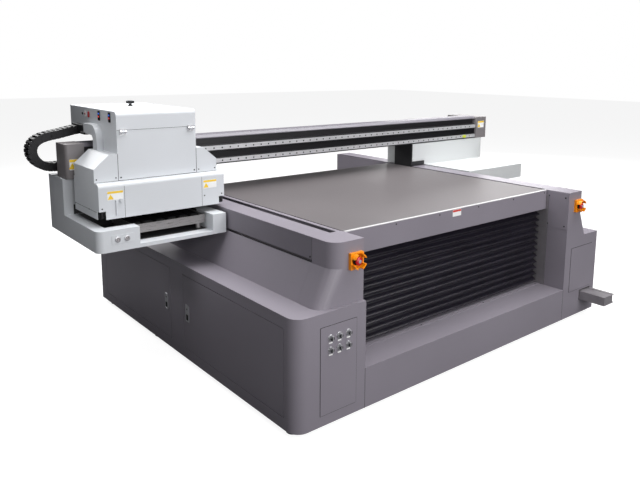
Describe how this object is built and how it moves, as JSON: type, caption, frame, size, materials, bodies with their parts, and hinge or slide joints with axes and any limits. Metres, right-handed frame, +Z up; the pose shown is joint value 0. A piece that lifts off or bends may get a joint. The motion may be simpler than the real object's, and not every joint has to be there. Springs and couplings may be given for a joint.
{
  "type": "flatbed uv printer",
  "caption": "Flatbed printer with a lifting table, a sliding gantry, a print carriage over a service station, and side cabinets with doors.",
  "frame": {"origin": "bottom centre of the bounding box, on the floor under the levelling feet", "axes": "+X to the machine's right, along the beam; +Y to the back, along the gantry's travel; +Z up"},
  "size_m": [3.8835, 2.579, 1.517],
  "materials": {
    "painted_dark": "fine texture satin",
    "painted_grey": "fine texture satin",
    "painted_light": "fine texture satin",
    "painted_white": "fine texture satin",
    "black_metal": "satin",
    "steel": "ground",
    "table_plate": "matte anodised",
    "beam_metal": "satin anodised",
    "chrome": "polished",
    "black_plastic": "matte",
    "bellows_fabric": "coated cloth",
    "orange_plastic": "gloss",
    "red_plastic": "gloss",
    "foot_rubber": "matte"
  },
  "bodies": {
    "base": {"base_frame": "painted_dark", "leveling_feet": "foot_rubber", "left_cabinet": "painted_grey", "left_front_cap": "painted_grey", "left_skirt": "painted_grey", "left_side_panel": "painted_dark", "left_top_cover": "painted_light", "switch_panel": "painted_grey", "bay_ledges": "painted_grey", "bellows": "bellows_fabric", "right_cabinet": "painted_grey", "right_tower": "painted_grey", "right_side_cover": "painted_grey", "right_panels": "painted_grey", "right_top_cover": "painted_light", "y_rails": "steel", "y_motor_tracks": "black_metal", "cable_trays": "painted_grey", "lift_jacks": "painted_dark", "estop_guards": "orange_plastic", "cover_screws": "black_metal"},
    "table": {"table_top": "table_plate", "table_frame": "painted_dark", "apron": "painted_grey", "lift_screws": "steel"},
    "gantry": {"beam": "beam_metal", "x_rails": "steel", "x_motor_track": "black_plastic", "beam_end_covers": "painted_dark", "gantry_legs": "black_metal", "riser": "painted_white", "side_tray_cover": "painted_white", "y_slides": "steel", "station_shell": "painted_light", "x_chain_tray": "painted_dark", "x_chain_runs": "black_plastic"},
    "chain_bend": {"x_chain_bend": "black_plastic"},
    "carriage": {"carriage_plate": "beam_metal", "x_slides": "steel", "print_heads": "black_metal", "lower_cover": "painted_light", "head_box": "painted_light", "cover_hinges": "chrome", "lamp_covers": "painted_light", "uv_lamps": "black_metal", "elbow_conduit": "painted_light"},
    "front_cover": {"head_front_cover": "painted_light"},
    "flap": {"latch_flap": "painted_light"},
    "rocker": {"rocker_switch": "red_plastic"},
    "cap": {"cap_tray": "steel"},
    "switch_1": {"knob_1": "black_plastic"},
    "switch_2": {"knob_2": "black_plastic"},
    "switch_3": {"knob_3": "black_plastic"},
    "switch_4": {"knob_4": "black_plastic"},
    "switch_5": {"knob_5": "black_plastic"},
    "switch_6": {"knob_6": "black_plastic"},
    "front_door": {"door_front": "painted_grey"},
    "rear_door": {"door_rear": "painted_grey"},
    "stop_left": {"estop_left": "red_plastic"},
    "stop_right": {"estop_right": "red_plastic"}
  },
  "joints": [
    {"name": "table_lift", "type": "slide", "parent": "base", "child": "table", "axis": [0, 0, 1], "range_m": [-0.25, 0], "deforming": ["bellows"]},
    {"name": "gantry_slide", "type": "slide", "parent": "base", "child": "gantry", "axis": [0, 1, 0], "range_m": [-1.15, 0.58]},
    {"name": "carriage_slide", "type": "slide", "parent": "gantry", "child": "carriage", "axis": [1, 0, 0], "range_m": [0, 2.72], "deforming": ["x_chain_runs"]},
    {"name": "chain_bend_slide", "type": "slide", "parent": "gantry", "child": "chain_bend", "axis": [1, 0, 0], "range_m": [0, 1.36]},
    {"name": "front_cover_hinge", "type": "hinge", "parent": "carriage", "child": "front_cover", "pos_m": [-1.40325, 0.009, 1.379], "axis": [-1, 0, 0], "range_deg": [0, 110]},
    {"name": "flap_hinge", "type": "hinge", "parent": "carriage", "child": "flap", "pos_m": [-1.67125, -0.036, 0.985], "axis": [0, 0, -1], "range_deg": [0, 100]},
    {"name": "rocker_tilt", "type": "hinge", "parent": "carriage", "child": "rocker", "pos_m": [-1.63225, 0.4175, 1.447], "axis": [0, 1, 0], "range_deg": [-8, 8]},
    {"name": "cap_lift", "type": "slide", "parent": "gantry", "child": "cap", "axis": [0, 0, 1], "range_m": [0, 0.035]},
    {"name": "switch_1_turn", "type": "hinge", "parent": "base", "child": "switch_1", "pos_m": [-1.08725, -1.1125, 0.467], "axis": [0, -1, 0], "range_deg": [-45, 45]},
    {"name": "switch_2_turn", "type": "hinge", "parent": "base", "child": "switch_2", "pos_m": [-1.03325, -1.1125, 0.467], "axis": [0, -1, 0], "range_deg": [-45, 45]},
    {"name": "switch_3_turn", "type": "hinge", "parent": "base", "child": "switch_3", "pos_m": [-0.97625, -1.1125, 0.467], "axis": [0, -1, 0], "range_deg": [-45, 45]},
    {"name": "switch_4_turn", "type": "hinge", "parent": "base", "child": "switch_4", "pos_m": [-1.08725, -1.1125, 0.407], "axis": [0, -1, 0], "range_deg": [-45, 45]},
    {"name": "switch_5_turn", "type": "hinge", "parent": "base", "child": "switch_5", "pos_m": [-1.03325, -1.1125, 0.407], "axis": [0, -1, 0], "range_deg": [-45, 45]},
    {"name": "switch_6_turn", "type": "hinge", "parent": "base", "child": "switch_6", "pos_m": [-0.97625, -1.1125, 0.407], "axis": [0, -1, 0], "range_deg": [-45, 45]},
    {"name": "front_door_hinge", "type": "hinge", "parent": "base", "child": "front_door", "pos_m": [-1.28675, -1.0015, 0.3], "axis": [0, 0, 1], "range_deg": [0, 100]},
    {"name": "rear_door_hinge", "type": "hinge", "parent": "base", "child": "rear_door", "pos_m": [-1.28675, 1.1765, 0.3], "axis": [0, 0, -1], "range_deg": [0, 100]},
    {"name": "stop_left_press", "type": "slide", "parent": "base", "child": "stop_left", "axis": [0, 1, 0], "range_m": [0, 0.005]},
    {"name": "stop_right_press", "type": "slide", "parent": "base", "child": "stop_right", "axis": [0, 1, 0], "range_m": [0, 0.005]}
  ],
  "couplings": [
    {"joint": "chain_bend_slide", "follows": "carriage_slide", "ratio": 0.5}
  ]
}
